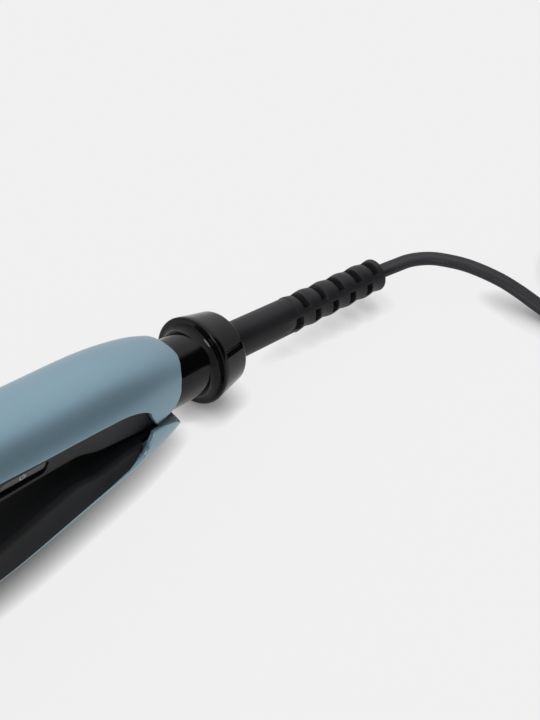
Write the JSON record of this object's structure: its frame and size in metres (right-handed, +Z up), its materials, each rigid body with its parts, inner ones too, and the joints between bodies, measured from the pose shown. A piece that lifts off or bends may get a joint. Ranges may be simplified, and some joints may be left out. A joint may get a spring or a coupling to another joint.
{
  "type": "hair straightener",
  "caption": "Slim hair straightener with satin blue-grey arms, matt black inner liners, a side button and a black swivel lead.",
  "frame": {"origin": "on the table under the arms' middle plane, halfway between the tips and the end of the strain relief", "axes": "+X from the tips towards the lead, +Z up, Y across the arms; the button faces -Y"},
  "size_m": [0.4738, 0.1172, 0.065],
  "materials": {
    "teal_shell": "satin metallic lacquer",
    "black_plastic": "fine matt texture",
    "gloss_black": "polished",
    "button_grey": "satin",
    "plate_coating": "smooth ceramic coating",
    "ceramic": "fired ceramic",
    "steel": "bright",
    "brass_contact": "bright",
    "board_green": "solder mask",
    "film_capacitor": "dipped",
    "clear_lens": "frosted",
    "silicone_wire": "smooth",
    "dark_wire": "smooth",
    "mica_sheet": "flat",
    "black_rubber": "matt"
  },
  "bodies": {
    "upper_arm": {"upper_shell": "teal_shell", "upper_liner": "black_plastic", "upper_tip": "black_plastic", "upper_plate_holder": "black_plastic", "upper_insulation": "mica_sheet", "upper_hinge_bracket": "black_plastic", "hinge_pin": "steel", "opening_spring": "steel", "swivel_neck": "gloss_black", "socket_ring": "black_plastic", "contact_brushes": "brass_contact", "mains_wires": "dark_wire", "control_board": "board_green", "tact_switch": "black_plastic", "triac": "black_plastic", "dropper_capacitor": "film_capacitor", "status_lens": "clear_lens", "thermal_fuse": "steel", "upper_heater_wires": "silicone_wire", "upper_rear_plate_spring": "steel", "upper_front_plate_spring": "steel", "upper_liner_screws": "steel", "upper_bracket_screws": "steel", "board_screws": "steel", "power_cord": "black_rubber", "cord_hank": "black_rubber", "cord_tie": "black_rubber", "plug_body": "black_rubber", "plug_relief": "black_rubber", "plug_pins": "brass_contact"},
    "lower_arm": {"lower_shell": "teal_shell", "lower_liner": "black_plastic", "lower_tip": "black_plastic", "lower_plate_holder": "black_plastic", "lower_insulation": "mica_sheet", "lower_hinge_bracket": "black_plastic", "lower_heater_wires": "silicone_wire", "lower_rear_plate_spring": "steel", "lower_front_plate_spring": "steel", "lower_liner_screws": "steel", "lower_bracket_screws": "steel"},
    "upper_plate": {"upper_plate": "plate_coating", "upper_heater": "ceramic", "upper_plate_clips": "steel", "upper_thermistor": "ceramic"},
    "lower_plate": {"lower_plate": "plate_coating", "lower_heater": "ceramic", "lower_plate_clips": "steel", "lower_thermistor": "ceramic"},
    "power_button": {"power_button": "button_grey"},
    "swivel": {"swivel_ball": "black_plastic", "strain_relief": "black_rubber", "slip_rings": "brass_contact"}
  },
  "joints": [
    {"name": "arm_hinge", "type": "hinge", "parent": "upper_arm", "child": "lower_arm", "pos_m": [0.04648, 0, 0.02189], "axis": [0, 1, 0], "range_deg": [0, 12], "stiffness_Nm_per_rad": 0.6, "springref_deg": -28.65},
    {"name": "upper_plate_float", "type": "slide", "parent": "upper_arm", "child": "upper_plate", "axis": [0.1599, 0, 0.9871], "range_m": [0, 0.0008], "stiffness_N_per_m": 2000, "springref_m": -0.0015, "deforming": ["upper_rear_plate_spring", "upper_front_plate_spring"]},
    {"name": "lower_plate_float", "type": "slide", "parent": "lower_arm", "child": "lower_plate", "axis": [0.0489, 0, -0.9988], "range_m": [0, 0.0008], "stiffness_N_per_m": 2000, "springref_m": -0.0015, "deforming": ["lower_rear_plate_spring", "lower_front_plate_spring"]},
    {"name": "power_button", "type": "slide", "parent": "upper_arm", "child": "power_button", "axis": [0, 1, 0], "range_m": [0, 0.0006], "stiffness_N_per_m": 1500, "springref_m": -0.0005},
    {"name": "lead_swivel", "type": "hinge", "parent": "upper_arm", "child": "swivel", "pos_m": [0.08053, 0, 0.01637], "axis": [0.9869, -0.1422, -0.0767], "continuous": true}
  ]
}
